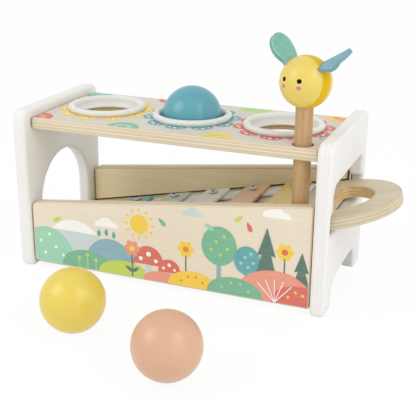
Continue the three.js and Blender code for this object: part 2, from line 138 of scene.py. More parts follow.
def stand(piece, at, along=(1, 0, 0), across=(0, 1, 0)):
    """Puts a piece at a place in mm from the bench's middle on the floor, with its X along and Y across."""
    x, y = Vector(along), Vector(across)
    turn = Matrix((x, y, x.cross(y))).transposed().to_4x4()
    piece.matrix_world = Matrix.Translation(BENCH + Vector(at) * MM) @ turn


def linear(code):
    """An sRGB hex colour as linear red, green, blue and alpha."""
    parts = [int(code[i:i + 2], 16) / 255 for i in (1, 3, 5)]
    return [p / 12.92 if p <= 0.04045 else ((p + 0.055) / 1.055) ** 2.4 for p in parts] + [1]


def add(material, kind, sockets, **settings):
    """Adds one shader node, with its settings, and with a value or a link for each named socket."""
    node = material.node_tree.nodes.new("ShaderNode" + kind)
    for setting, value in settings.items():
        setattr(node, setting, value)
    for socket, value in sockets.items():
        if isinstance(value, bpy.types.NodeSocket):
            material.node_tree.links.new(value, node.inputs[socket])
        else:
            node.inputs[socket].default_value = value
    return node


def finish(name):
    """A new material without a shader yet, and the piece's own coordinates in it, in metres."""
    material = bpy.data.materials.new(name)
    material.use_nodes = True
    material.node_tree.nodes.clear()
    return material, add(material, "TexCoord", {}).outputs["Object"]


def speckle(material, place, size, detail=2, roughness=0.5):
    """Noise with features of a size in mm."""
    sockets = {"Vector": place, "Scale": 1 / MM / size, "Detail": detail, "Roughness": roughness}
    return add(material, "TexNoise", sockets).outputs[0]


def grain(material, place, sizes, detail=2, distortion=0.0):
    """Noise with features of another size in mm along each axis."""
    scale = [1 / MM / size for size in sizes]
    unit = add(material, "Mapping", {"Vector": place, "Scale": scale}).outputs[0]
    sockets = {"Vector": unit, "Scale": 1, "Detail": detail, "Distortion": distortion}
    return add(material, "TexNoise", sockets).outputs[0]


def ramp(material, value, start, end, first=0.0, last=1.0):
    """A value taken from the range of start to end into that of first to last, and held beyond its ends."""
    return add(material, "MapRange", {0: value, 1: start, 2: end, 3: first, 4: last}).outputs[0]


def work(material, operation, *values):
    """The result of one operation on values or links."""
    return add(material, "Math", dict(enumerate(values)), operation=operation).outputs[0]


def blend(material, share, first, second):
    """A mix of two colours, each an sRGB hex colour, a linear one or a link."""
    first, second = (linear(c) if isinstance(c, str) else c for c in (first, second))
    return add(material, "Mix", {0: share, 6: first, 7: second}, data_type="RGBA").outputs[2]


def coat(material, colour, roughness, more, height=None, strength=0.0, depth=0.0):
    """Closes a material with its shader, and with a bump of a depth in mm where a height is given."""
    sockets = {"Base Color": colour, "Roughness": roughness, **more}
    if height is not None:
        bump = {"Height": height, "Strength": strength, "Distance": depth * MM}
        sockets["Normal"] = add(material, "Bump", bump).outputs[0]
    shader = add(material, "BsdfPrincipled", sockets).outputs[0]
    add(material, "OutputMaterial", {"Surface": shader})


# Sprayed white lacquer on plywood: satin, with a faint spray texture of about 1.5 mm, and with the
# veneers of the board just showing through it as fine lines where the edges were cut.
END_VENEER = END_THICKNESS / 7
white_lacquer, spot = finish("sprayed_white_lacquer")
across = add(white_lacquer, "SeparateXYZ", {0: spot}).outputs["Z"]
veneer = work(white_lacquer, "MULTIPLY", across, 1 / MM / END_VENEER)
wave = work(white_lacquer, "PINGPONG", veneer, 1)
glue = ramp(white_lacquer, wave, 0.0, 0.28, 1.0, 0.0)
fibre = grain(white_lacquer, spot, (18, 18, 1.2))
ghost = work(white_lacquer, "MULTIPLY", glue, fibre)
seen = work(white_lacquer, "MULTIPLY", ghost, 0.6)
body = blend(white_lacquer, speckle(white_lacquer, spot, 60), "#e9e7e4", "#eeedea")
lined = blend(white_lacquer, seen, body, "#d8d5cd")
peel = speckle(white_lacquer, spot, 1.5)
relief = work(white_lacquer, "MULTIPLY_ADD", seen, -1.5, peel)
sheen = ramp(white_lacquer, peel, 0, 1, 0.48, 0.6)
coat(white_lacquer, lined, sheen, {"IOR": 1.47, "Specular IOR Level": 0.12}, relief, 0.25, 0.06)

exit_arch = [(-41, 0, 5), (-41, 92, 40.85), (41, 92, 40.85), (41, 0, 5)]
foot_arch = [(-42, 0, 5), (-42, 23, 14), (42, 23, 14), (42, 0, 5)]
stepped_opening = [
    (-57.5, 66.56, 5), (-57.5, 83.73, 3.2), (-51, 83.73, 3.2), (-51, 104.53, 8),
    (51, 104.53, 8), (51, 83.73, 3.2), (57.5, 83.73, 3.2), (57.5, 66.56, 5)]
end_rim = [(END_HALF_DEPTH, 0, 5), (END_HALF_DEPTH, END_HEIGHT, 9), (-END_HALF_DEPTH, END_HEIGHT, 9),
           (-END_HALF_DEPTH, 0, 5)]
for side, sign, arch, openings in (("left", -1, exit_arch, []), ("right", 1, foot_arch, [stepped_opening])):
    lines = [(outline(line), END_ARRIS) for line in [end_rim + arch] + openings]
    panel = plate(f"{side}_upright", lines, END_THICKNESS)
    wear(panel, white_lacquer, white_lacquer)
    soften(panel)
    stand(panel, (sign * (INNER_HALF_LENGTH + END_THICKNESS / 2), 0, 0), (0, 1, 0), (0, 0, 1))
    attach(panel, "bench")
    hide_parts(f"{side}_end_panel")

# Pins.
# Twelve beech pins of 6 mm, glued into blind holes, two in each end of each board.
# They are out of sight once the bench is together, so the solids keep their shape here.
SEALED_WOOD = {"IOR": 1.47, "Specular IOR Level": 0.4}

# Beech is pinkish tan and even, with lengthwise streaks of about 3 mm and darker flecks, which are
# 0.4 mm wide in the wood and drawn 0.9 mm wide here so that they show.
beech, spot = finish("turned_beech_waxed")
figure = grain(beech, spot, (3, 3, 60), 3, 0.4)
fleck = grain(beech, spot, (0.9, 0.9, 7), 1)
body = blend(beech, ramp(beech, figure, 0.3, 0.7), "#b38c5f", "#c8a77b")
flecked = blend(beech, ramp(beech, fleck, 0.56, 0.78, 0.0, 0.35), body, "#9a7146")
coat(beech, flecked, 0.5, SEALED_WOOD, fleck, 0.3, 0.08)
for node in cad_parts:
    if node.startswith("pin_"):
        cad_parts[node].data.materials.clear()
        wear(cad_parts[node], beech)

# Front and back panels.
# Two wedges of 10 mm birch plywood, lower at the left, with rounded arrises and a clear lacquer.
# A groove of 3.5 mm routed in each inner face carries the xylophone on its slope of 12 degrees.
BOARD_GAP = 0.25
BOARD_HALF_LENGTH = INNER_HALF_LENGTH - BOARD_GAP
WALL_THICKNESS = 10
WALL_ARRIS = 2
WALL_MIDDLE_Y = 56
WALL_FOOT, WALL_LEFT_TOP, WALL_RIGHT_TOP = 4.5, 60, 91
WALL_GROOVE = 3.5
WALL_SHADE_REACH, WALL_DEEP_SHADE_REACH = 1.25, 0.45
SLOPE = radians(12)
TRAY_HEIGHT = 52
TRAY_THICKNESS = 10
RUN_UNDER, RUN_OVER = 0.3, 1.4
GROOVE_REACH, GROOVE_PAST, GROOVE_SHADE_REACH = 160, 4, 8


def slab(name, low, high):
    """A sharp block between two corners, as a cutter."""
    corners = [(x, y, z) for x in (low[0], high[0]) for y in (low[1], high[1]) for z in (low[2], high[2])]
    sides = [(0, 1, 3, 2), (4, 6, 7, 5), (0, 4, 5, 1), (2, 3, 7, 6), (0, 2, 6, 4), (1, 5, 7, 3)]
    mesh = bpy.data.meshes.new(name)
    mesh.from_pydata([Vector(c) * MM for c in corners], [], sides)
    return linked(name, mesh)


def cut_away(piece, cutter):
    """Takes the cutter's form out of the piece, and throws the cutter away."""
    tool = piece.modifiers.new("cut", "BOOLEAN")
    tool.object = cutter
    tool.solver = "EXACT"
    bpy.context.view_layer.update()
    mesh = bpy.data.meshes.new_from_object(piece.evaluated_get(bpy.context.evaluated_depsgraph_get()))
    piece.modifiers.clear()
    piece.data = mesh
    mesh.materials.clear()
    bpy.data.objects.remove(cutter)


VENEER = WALL_THICKNESS / 7


def birch_plywood(name, pale, deep, pore, cross, rim="#a47a45", glue_shows=0.4):
    """Birch plywood under clear lacquer.

    Rotary-cut faces are pale and quiet, with soft figure some 9 mm wide and 120 mm long. Cut edges show
    seven veneers in turn along and across the grain, with thin glue lines. The lacquer soaks in and
    darkens the wood in a line where a flat face turns into its rounded arris, drawn 0.8 mm wide here."""
    wood, spot = finish(name)
    figure = grain(wood, spot, (120, 9, 9), 4, 0.7)
    pores = grain(wood, spot, (16, 1.1, 1.1))
    body = blend(wood, ramp(wood, figure, 0.28, 0.72), deep, pale)
    pored = blend(wood, ramp(wood, pores, 0.52, 0.75, 0.0, 0.25), body, pore)
    facing = add(wood, "TexCoord", {}).outputs["Normal"]
    level = work(wood, "ABSOLUTE", add(wood, "SeparateXYZ", {0: facing}).outputs["Z"])
    edged = ramp(wood, level, 0.55, 0.9, 1.0, 0.0)
    depth = add(wood, "SeparateXYZ", {0: spot}).outputs["Z"]
    layer = work(wood, "PINGPONG", work(wood, "MULTIPLY_ADD", depth, 1 / MM / VENEER, 0.5), 1)
    banded = work(wood, "MULTIPLY", ramp(wood, layer, 0.42, 0.58, 0.0, 0.6), edged)
    layered = blend(wood, banded, pored, cross)
    apart = work(wood, "ABSOLUTE", work(wood, "SUBTRACT", layer, 0.5))
    glued = work(wood, "MULTIPLY", ramp(wood, apart, 0.02, 0.12, glue_shows, 0.0), edged)
    turning = ramp(wood, level, 0.90, 0.955, 0.0, 0.65)
    unturned = ramp(wood, level, 0.985, 0.998, 1.0, 0.0)
    soaked = work(wood, "MULTIPLY", turning, unturned)
    tint = blend(wood, work(wood, "MAXIMUM", glued, soaked), layered, rim)
    rough = ramp(wood, pores, 0, 1, 0.4, 0.52)
    coat(wood, tint, rough, SEALED_WOOD, pores, 0.25, 0.06)
    return wood


birch = birch_plywood("birch_plywood_lacquered", "#e9ddc7", "#dfd1b2", "#ccb992", "#c8b799")
# The tray is cut from a greyer sheet, whose glue lines hardly show.
tray_birch = birch_plywood("birch_plywood_tray", "#d9cdb4", "#cebf9f", "#baa680", "#bcac8a", glue_shows=0.12)
# The back panel's inner face lies in the shade of the top board, so it takes a brighter and yellower birch:
# painted light that lifts that shade.
lit_golden_birch = birch_plywood("birch_plywood_golden_painted_light", "#f6e8c6", "#eedeb6", "#dac394", "#ccb890")
# The walls of holes take a more golden birch, browned a little by the router. The grooves, and the ends of
# the boards where they butt against the uprights, take a dark brown birch. This is painted shade in the
# grooves and joints. At the ends, the golden birch is used again as a narrow, lighter step of painted shade
# just inside the dark brown.
routed_and_shade_birch = birch_plywood("birch_plywood_routed_and_shade", "#e2ca9c", "#d6b985", "#b8945e", "#c09c64", "#7d5628")
shade_painted_birch = birch_plywood(
    "birch_plywood_painted_shade", "#6f4f2b", "#5d4022", "#4a331b", "#543a1f", "#3f2a15")


def printed_ground(name, pale, deep):
    """One even coat of screen ink over a whole face: matt, with the fine grain just visible through it."""
    ground, spot = finish(name)
    fibre = grain(ground, spot, (30, 1.6, 1.6), 3)
    tint = blend(ground, ramp(ground, fibre, 0.3, 0.75), deep, pale)
    coat(ground, tint, 0.42, SEALED_WOOD, fibre, 0.15, 0.05)
    return ground


cream_ground = printed_ground("screen_ink_cream_ground", "#e8ddc9", "#e2d6c0")
wall_rim = [(-BOARD_HALF_LENGTH, WALL_FOOT, 6), (BOARD_HALF_LENGTH, WALL_FOOT, 3),
            (BOARD_HALF_LENGTH, WALL_RIGHT_TOP, 3), (-BOARD_HALF_LENGTH, WALL_LEFT_TOP, 6)]
for face, sign, facing_wood in (("front", -1, cream_ground), ("back", 1, lit_golden_birch)):
    panel = plate(f"{face}_wedge", [(outline(wall_rim), WALL_ARRIS)], WALL_THICKNESS)
    inner = sign * WALL_THICKNESS / 2
    deep = sorted((inner - sign * WALL_GROOVE, inner + sign * GROOVE_PAST))
    groove = slab("groove", (-GROOVE_REACH, -TRAY_THICKNESS - RUN_UNDER, deep[0]),
                  (GROOVE_REACH, RUN_OVER, deep[1]))
    groove.matrix_world = Matrix.Translation((0, TRAY_HEIGHT * MM, 0)) @ Matrix.Rotation(SLOPE, 4, "Z")
    cut_away(panel, groove)
    wear(panel, birch, shade_painted_birch, routed_and_shade_birch, facing_wood)
    for polygon in panel.data.polygons:
        at = polygon.center / MM
        below_face = abs(at.z) < WALL_THICKNESS / 2 - 0.01
        from_groove = abs(at.y - TRAY_HEIGHT - at.x * tan(SLOPE) + TRAY_THICKNESS / 2)
        from_end = BOARD_HALF_LENGTH - abs(at.x)
        # Painted shade: the groove's walls turn dark brown, and so do the panel's ends where it butts against
        # an upright, with a golden step just inside them.
        if below_face and from_groove < GROOVE_SHADE_REACH and at.y > WALL_FOOT + 1.5:
            polygon.material_index = 1
        elif from_end < WALL_SHADE_REACH:
            polygon.material_index = 1 if from_end < WALL_DEEP_SHADE_REACH else 2
        # The front panel's outer face takes the cream print ground. The back panel's inner face takes the
        # brightened birch, which is painted light.
        elif polygon.normal.z > 0.99:
            polygon.material_index = 3
    soften(panel)
    stand(panel, (0, sign * WALL_MIDDLE_Y, 0), (1, 0, 0), (0, 0, 1))
    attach(panel, "bench")
    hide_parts(f"{face}_panel")

# Print on the front panel.
# A landscape of plain flat shapes, screen-printed over the panel's cream ground in a dozen matt inks.
# Each shape is a film of ink a few hundredths of a millimetre thick, and later ones lie on earlier ones.
INK_FILM = 0.03


def ink(name, code):
    """Screen-printed ink: matt and even, with the wood's fine grain showing in it as faint streaks."""
    print_ink, spot = finish(name)
    fibre = grain(print_ink, spot, (22, 1.4, 1.4))
    tint = blend(print_ink, ramp(print_ink, fibre, 0.45, 0.8, 0.0, 0.12), code, "#e8dcc4")
    coat(print_ink, tint, 0.48, {"IOR": 1.47, "Specular IOR Level": 0.35}, fibre, 0.15, 0.05)
    return print_ink


inks = {name: ink(f"screen_ink_{name}", code) for name, code in {
    "teal": "#62a6ac", "mint": "#9bcfb3", "green": "#78b593", "lime": "#c0d360", "yellow": "#f0cb4c",
    "coral": "#d66f62", "peach": "#e59983", "slate": "#8aaebb", "pine": "#5c796f", "grey": "#c8d3d1",
    "white": "#f3f1ec", "orange": "#de8a45"}.items()}


def oval(x, y, wide, high=None, steps=36):
    """An ellipse of half width wide and half height high, or a disc if no height is given."""
    high = wide if high is None else high
    turns = [2 * pi * k / steps for k in range(steps)]
    return [(x + wide * cos(a), y + high * sin(a)) for a in turns]


def dots(colour, radius, *places):
    """A disc of one colour at each place."""
    return [(colour, oval(x, y, radius)) for x, y in places]


def hill(x, base, wide, high, steps=28):
    """A round hill of half width wide that stands on base."""
    turns = [pi * k / steps for k in range(steps + 1)]
    return [(x + wide * cos(a), base + high * sin(a) ** 0.9) for a in turns]


def stroke(x0, y0, x1, y1, wide):
    """A straight line of a width, from one point to another."""
    side = Vector((y0 - y1, x1 - x0)).normalized() * wide / 2
    return [(x0 - side.x, y0 - side.y), (x1 - side.x, y1 - side.y), (x1 + side.x, y1 + side.y),
            (x0 + side.x, y0 + side.y)]


def cloud(x, base, wide, steps=48):
    """A cloud of three puffs on a flat base."""
    puffs = [(-0.30, 0.00, 0.22), (-0.04, 0.10, 0.27), (0.26, 0.00, 0.20)]
    tops = []
    for k in range(steps + 1):
        u = -0.52 + 0.98 * k / steps
        rise = [v + sqrt(max(0, r * r - (u - c) ** 2)) for c, v, r in puffs if abs(u - c) < r]
        tops.append((x + wide * u, base + wide * max(rise + [0.0])))
    return [(x - wide * 0.52, base - wide * 0.01), (x + wide * 0.46, base - wide * 0.01)] + tops[::-1]


def fir(x, base, wide, high):
    """A fir in three tiers."""
    tiers = [(0.0, 1.00), (0.34, 0.62), (0.17, 0.64), (0.42, 0.30), (0.21, 0.32), (0.50, 0.0)]
    right = [(x + wide * u, base + high * v) for u, v in tiers]
    return right[::-1] + [(2 * x - u, v) for u, v in right[1:]]


def rosette(x, y, radius, petals):
    """A flower head with round petals."""
    steps = petals * 8
    reach = [radius * (0.70 + 0.30 * abs(cos(petals * pi * k / steps))) for k in range(steps)]
    return [(x + r * cos(2 * pi * k / steps), y + r * sin(2 * pi * k / steps))
            for k, r in enumerate(reach)]


def drop(x, y, length, wide, turn, steps=24):
    """A tear with its round end at (x, y) and its point at its length along turn."""
    shape = []
    for k in range(steps):
        a = 2 * pi * k / steps
        u = (1 - cos(a)) / 2
        shape.append((length * (1 - u), wide / 2 * sin(a) * sin(a / 2) ** 0.8))
    c, s = cos(turn), sin(turn)
    return [(x + c * u - s * v, y + s * u + c * v) for u, v in shape]


def within(shape, field):
    """The part of a shape that lies on an anticlockwise convex field."""
    for i, (x0, y0) in enumerate(field):
        x1, y1 = field[(i + 1) % len(field)]
        side = [(x1 - x0) * (y - y0) - (y1 - y0) * (x - x0) for x, y in shape]
        kept = []
        for k, (here, now) in enumerate(zip(shape, side)):
            before, last = shape[k - 1], side[k - 1]
            if (now >= 0) != (last >= 0):
                share = last / (last - now)
                kept.append(tuple(b + (h - b) * share for b, h in zip(before, here)))
            if now >= 0:
                kept.append(here)
        shape = kept
        if len(shape) < 3:
            return []
    return shape


def printed(name, shapes, field, surface):
    """A closed film for each (ink, shape), clipped to the field, on a face at height surface."""
    bm = bmesh.new()
    laid, used = [], []
    for colour, shape in shapes:
        shape = within(shape, field)
        if not shape:
            continue
        xs, ys = [p[0] for p in shape], [p[1] for p in shape]
        box = (min(xs), min(ys), max(xs), max(ys))
        under = [n for n, b in laid if b[0] < box[2] and box[0] < b[2] and b[1] < box[3] and box[1] < b[3]]
        level = max(under, default=0) + 1
        laid.append((level, box))
        used += [colour] if colour not in used else []
        area = sum(a[0] * b[1] - b[0] * a[1] for a, b in zip(shape, shape[1:] + shape[:1]))
        shape = shape if area > 0 else shape[::-1]
        high = [bm.verts.new(Vector((x, y, surface + INK_FILM * level)) * MM) for x, y in shape]
        low = [bm.verts.new(Vector((x, y, surface + INK_FILM / 3)) * MM) for x, y in shape]
        films = [bm.faces.new(high), bm.faces.new(low[::-1])]
        films += [bm.faces.new((low[i - 1], low[i], high[i], high[i - 1])) for i in range(len(shape))]
        for film in films:
            film.material_index = used.index(colour)
    bm.normal_update()
    bmesh.ops.triangulate(bm, faces=bm.faces[:])
    mesh = bpy.data.meshes.new(name)
    bm.to_mesh(mesh)
    bm.free()
    for colour in used:
        mesh.materials.append(inks[colour])
    return linked(name, mesh)


front_field = [(-121.5, 6.55), (123.6, 6.55), (123.6, 88.6), (-119.5, 58.6), (-123.6, 54.8), (-123.6, 9.0)]
GROUND = 6.5
SUN = (-22, 55)
# Mountains and hills at the left, with a round sun between clouds.
mountain = hill(-84, GROUND, 33, 43)
snow = within(mountain, [(-130, 39), (-30, 39), (-30, 80), (-130, 80)])
shapes = [("grey", mountain), ("white", snow)]
shapes += [("slate", hill(-50, GROUND, 25, 31)), ("mint", hill(-112, GROUND, 28, 33))]
shapes += dots("white", 1.3, (-118, 26), (-109, 33), (-103, 22), (-114, 15), (-96, 15))
shapes += [("green", hill(-72, GROUND, 25, 17)), ("lime", hill(-37, GROUND, 24, 13))]
shapes += [("lime", stroke(x, GROUND, x, y, 0.8)) for x, y in ((-80, 15), (-72, 19), (-64, 15))]
shapes += dots("lime", 1.6, (-80, 15.5), (-72, 19.5), (-64, 15.5))
shapes += dots("yellow", 8.5, SUN)
for a in (2 * pi * k / 12 for k in range(12)):
    ends = [c for r in (10.5, 14) for c in (SUN[0] + r * cos(a), SUN[1] + r * sin(a))]
    shapes += [("yellow", stroke(*ends, 1.7))]
shapes += [("white", cloud(-52, 48, 23)), ("grey", cloud(26, 69, 20)), ("white", cloud(97, 78, 24))]
shapes += [("teal", drop(x, y, 6.5, 4.2, pi / 2)) for x, y in ((-60, 38.5), (-53, 40), (-46, 38.5))]
# Toadstools and flowers in the middle.
for x, high, wide in ((-14, 27, 14), (5, 19, 10)):
    neck = GROUND + high * 0.6
    shapes += [("grey", [(x - wide * 0.24, GROUND), (x + wide * 0.24, GROUND), (x + wide * 0.16, neck),
                         (x - wide * 0.16, neck)])]
    shapes += [("coral", hill(x, GROUND + high * 0.5, wide, high * 0.62))]
    shapes += [("white", oval(x + wide * u, GROUND + high * v, wide * r)) for u, v, r in (
        (-0.5, 0.68, 0.13), (0.02, 0.86, 0.16), (0.5, 0.66, 0.12))]
for x, high, colour, heart in (
        (-29, 26, "peach", "yellow"), (20, 33, "yellow", "orange"), (104, 44, "yellow", "coral")):
    shapes += [("pine", stroke(x, GROUND, x, GROUND + high, 1.3))]
    shapes += [("pine", drop(x, GROUND + 5, 8, 4, a)) for a in (0.6, pi - 0.6)]
    shapes += [(colour, rosette(x, GROUND + high, 7.5, 6)), (heart, oval(x, GROUND + high, 2.6))]
shapes += [("peach", hill(-2, GROUND, 17, 9)), ("yellow", hill(26, GROUND, 22, 14))]
shapes += dots("orange", 1.1, (16, 11), (22, 15.5), (29, 16), (35, 12))
# Round trees and firs at the right, with wide hills in front.
for x, trunk, wide, crown, spots in ((49, 30, 15, "green", "lime"), (73, 24, 11, "teal", "mint")):
    shapes += [("slate", stroke(x, GROUND, x, GROUND + trunk, 3.4))]
    shapes += [(crown, oval(x, GROUND + trunk + wide * 0.7, wide, wide * 1.12))]
    shapes += [(spots, oval(x + wide * u, GROUND + trunk + wide * v, 1.4)) for u, v in (
        (-0.45, 0.45), (0.1, 0.2), (0.5, 0.6), (-0.15, 0.95), (0.3, 1.3))]
shapes += [("pine", fir(89, GROUND, 22, 62)), ("pine", fir(118, GROUND, 18, 46))]
shapes += [("peach", hill(97, GROUND, 33, 27)), ("green", hill(63, GROUND, 24, 15))]
shapes += [("coral", hill(118, GROUND, 24, 17))]
shapes += [("white", stroke(97, GROUND, 97 + 22 * cos(a), GROUND + 20 * sin(a), 0.7))
           for a in (0.9, 1.25, 1.6, 1.95, 2.3)]
shapes += dots("mint", 1.3, (52, 12), (60, 17), (68, 17), (75, 11.5))
shapes += dots("yellow", 1.2, (108, 13), (114, 18), (120, 16))
shapes += [(colour, drop(x, y, 9, 5, a)) for colour, x, y, a in (
    ("lime", -104, 46, 0.5), ("green", 2, 57, 2.4), ("lime", 62, 70, 0.7), ("coral", 76, 63, 2.0),
    ("mint", 44, 60, 2.6))]
front_print = printed("front_landscape_print", shapes, front_field, WALL_THICKNESS / 2)
stand(front_print, (0, -WALL_MIDDLE_Y, 0), (1, 0, 0), (0, 0, 1))
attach(front_print, "bench")

# Top board.
# A board of 10 mm birch plywood with three ring holes and one for the mallet, its upper face printed
# all over in a warm grey ground before the edges were rounded, so that bare ply shows round it.
BOARD_TOP = 134
BOARD_THICKNESS = 10
BOARD_HALF_DEPTH = 55
BOARD_SHADE_REACH, BOARD_DEEP_SHADE_REACH = 2.15, 0.65
RING_SPACING = 81.3
RING_HOLE, MALLET_HOLE = 30.25, 8.05
BOARD_ARRIS, RING_HOLE_ARRIS, MALLET_HOLE_ARRIS = 2.5, 0.6, 0.8
BOARD_CORNER = 3.5
MALLET_AT = (109.5, -43.5)


def round_hole(x, y, radius, steps=96):
    """Points and outward normals of a round hole, for a plate."""
    turns = [-2 * pi * k / steps for k in range(steps)]
    spokes = [Vector((cos(a), sin(a))) for a in turns]
    return [(Vector((x, y)) + spoke * radius, -spoke) for spoke in spokes]


grey_ground = printed_ground("screen_ink_warm_grey_ground", "#d6cec2", "#cfc7bb")
board_rim = [(x * BOARD_HALF_LENGTH, y * BOARD_HALF_DEPTH, BOARD_CORNER)
             for x, y in ((1, -1), (1, 1), (-1, 1), (-1, -1))]
lines = [(outline(board_rim), BOARD_ARRIS)]
lines += [(round_hole(x, 0, RING_HOLE), RING_HOLE_ARRIS) for x in (-RING_SPACING, 0, RING_SPACING)]
lines += [(round_hole(*MALLET_AT, MALLET_HOLE, 48), MALLET_HOLE_ARRIS)]
top = plate("top_shelf", lines, BOARD_THICKNESS)
wear(top, birch, routed_and_shade_birch, grey_ground, shade_painted_birch)
for polygon in top.data.polygons:
    from_end = BOARD_HALF_LENGTH - abs(polygon.center.x) / MM
    if polygon.normal.z > 0.99:
        polygon.material_index = 2
    # Painted shade at the ends, where the board butts against the uprights: dark brown at the very end,
    # golden just inside it.
    elif from_end < BOARD_SHADE_REACH:
        polygon.material_index = 3 if from_end < BOARD_DEEP_SHADE_REACH else 1
soften(top)
stand(top, (0, 0, BOARD_TOP - BOARD_THICKNESS / 2))
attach(top, "bench")
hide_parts("top_board")

# Print on the top board.
# A wreath of ten rounded scallops round each ring in one colour, with pale dots, and large plain discs
# between and at the corners, in the same inks and cut off by the board's edges.


def scallop(x, y, turn, half, near, far, steps=20):
    """A rounded leaf about (x, y), from radius near to far, that spans half an angle to each side of turn."""
    sides = [turn + half * (2 * k / steps - 1) for k in range(steps + 1)]
    reach = [near + (far - near) * sqrt(max(0, 1 - (2 * k / steps - 1) ** 2)) for k in range(steps + 1)]
    outer = [(x + r * cos(a), y + r * sin(a)) for a, r in zip(sides, reach)]
    return outer[1:-1] + [(x + near * cos(a), y + near * sin(a)) for a in sides[::-1]]


shapes = []
for x, y, r, colour, inner in (
        (-122, -50, 14, "coral", "peach"), (-118, 51, 15, "green", "mint"), (-40.6, -52, 14, "green", "mint"),
        (-40.6, 52, 13, "coral", "peach"), (40.6, -52, 14, "yellow", "lime"), (40.6, 51, 14, "lime", "mint"),
        (120, 50, 15, "yellow", "peach"), (122, -20, 6, "slate", "grey")):
    shapes += [(colour, oval(x, y, r)), (inner, oval(x, y, r * 0.62)), (colour, oval(x, y, r * 0.28))]
for middle, colour in ((-RING_SPACING, "yellow"), (0, "teal"), (RING_SPACING, "coral")):
    for k in range(10):
        a = 2 * pi * (k + 0.5) / 10
        shapes += [(colour, scallop(middle, 0, a, radians(16.5), 31.6, 42))]
        for r, b, wide in ((37.6, 0, 1.5), (36.4, 0.14, 1.0), (36.4, -0.14, 1.0)):
            shapes += dots("white", wide, (middle + r * cos(a + b), r * sin(a + b)))
top_field = [(-123, -52.3), (123, -52.3), (123, 52.3), (-123, 52.3)]
top_print = printed("top_wreath_print", shapes, top_field, BOARD_THICKNESS / 2)
stand(top_print, (0, 0, BOARD_TOP - BOARD_THICKNESS / 2))
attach(top_print, "bench")

# Rings.
# Three rings moulded in a soft white plastic and pressed into the board: a fat round rim above, a funnel
# inside it with a lip that the ball is hammered through, and a short skirt in the top of the hole.


def turned(name, profile, steps, closed=False):
    """A form of revolution about Z, from (radius, height) points that go up its outside."""
    places, rings, faces = [], [], []
    for radius, height in profile:
        count = steps if radius > 1e-6 else 1
        rings.append([len(places) + k for k in range(count)])
        for k in range(count):
            a = 2 * pi * k / steps
            places.append(Vector((radius * cos(a), radius * sin(a), height)) * MM)
    for low, high in zip(rings, rings[1:] + (rings[:1] if closed else [])):
        for k in range(steps):
            j = (k + 1) % steps
            corners = [low[k % len(low)], low[j % len(low)], high[j % len(high)], high[k % len(high)]]
            faces.append(list(dict.fromkeys(corners)))
    mesh = bpy.data.meshes.new(name)
    mesh.from_pydata(places, [], [f for f in faces if len(f) > 2])
    mesh.validate()
    return linked(name, mesh)


def bend(x, y, rx, ry, start, end, steps=8):
    """Points round part of an ellipse, in degrees."""
    turns = [radians(start + (end - start) * k / steps) for k in range(steps + 1)]
    return [(x + rx * cos(a), y + ry * sin(a)) for a in turns]


# Soft moulded plastic: white, a little see-through at thin places, with a fine satin from the mould.
soft_white, spot = finish("moulded_soft_plastic_white")
satin = speckle(soft_white, spot, 0.8)
milky = blend(soft_white, speckle(soft_white, spot, 25, 1), "#dadad5", "#e2e1dc")
depths = {"Subsurface Weight": 0.6, "Subsurface Radius": (1, 0.95, 0.85), "Subsurface Scale": 4 * MM}
coat(soft_white, milky, ramp(soft_white, satin, 0, 1, 0.34, 0.46), {"IOR": 1.5, **depths}, satin, 0.1, 0.05)

ring_profile = [(27.3, -5.35), (27.7, -5.5), (29.7, -5.5), (30.0, -5.2), (30.0, 0.1), (32.9, 0.1)]
ring_profile += bend(30.25, 2.2, 3.5, 2.8, -28, 90, 16)
ring_profile += bend(30.25, 0.25, 2.75, 4.74, 90, 176, 9)[1:]
ring_profile += [(27.1, -0.6), (26.4, -1.7), (25.5, -2.7)] + bend(25.25, -4.0, 0.65, 0.7, 110, 250, 8)
ring_profile += [(26.2, -5.05)]
for name, x in (("left", -RING_SPACING), ("middle", 0), ("right", RING_SPACING)):
    ring = turned(f"soft_ring_{name}", ring_profile, 128, closed=True)
    wear(ring, soft_white)
    soften(ring)
    stand(ring, (x, 0, BOARD_TOP))
    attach(ring, "bench")
    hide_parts(f"ring_{name}")

# Xylophone tray.
# A board of 10 mm birch plywood on the slope, with a half-round handle and a grip hole at its outer end.
# Its long edges run in the grooves of the two panels, so that it pulls out to the right.
TRAY_HALF = 54
TRAY_ARRIS = 1.8
TRAY_CORNER, HANDLE_ROUND = 2.8, 53.85
HANDLE_CENTRE = 130.08
GRIP_RADIUS = 31
GRIP_EASE = 6


def on_tray(piece, at=(0, 0, 0), turn=0.0):
    """Puts a piece on the sloping tray, whose upper face is its Z 0."""
    foot = Matrix.Translation(BENCH + Vector((0, 0, TRAY_HEIGHT)) * MM)
    tray_frame = foot @ Matrix.Rotation(-SLOPE, 4, "Y")
    piece.matrix_world = tray_frame @ Matrix.Translation(Vector(at) * MM) @ Matrix.Rotation(turn, 4, "Z")


tray_left = -BOARD_HALF_LENGTH / cos(SLOPE)
tray_right = HANDLE_CENTRE + TRAY_HALF
tray_rim = [(tray_left, -TRAY_HALF, TRAY_CORNER), (tray_right, -TRAY_HALF, HANDLE_ROUND),
            (tray_right, TRAY_HALF, HANDLE_ROUND), (tray_left, TRAY_HALF, TRAY_CORNER)]
grip_y = sqrt(GRIP_RADIUS * (GRIP_RADIUS - 2 * GRIP_EASE))
grip_turn = atan2(grip_y, GRIP_EASE)
grip = []
for x, y, radius, start, end, steps in (
        (HANDLE_CENTRE, 0, GRIP_RADIUS, grip_turn, -grip_turn, 48),
        (HANDLE_CENTRE + GRIP_EASE, -grip_y, GRIP_EASE, -grip_turn, -pi, 14),
        (HANDLE_CENTRE + GRIP_EASE, grip_y, GRIP_EASE, pi, grip_turn, 14)):
    for k in range(steps):
        a = start + (end - start) * (k + 0.5) / steps
        spoke = Vector((cos(a), sin(a)))
        grip.append((Vector((x, y)) + spoke * radius, -spoke))
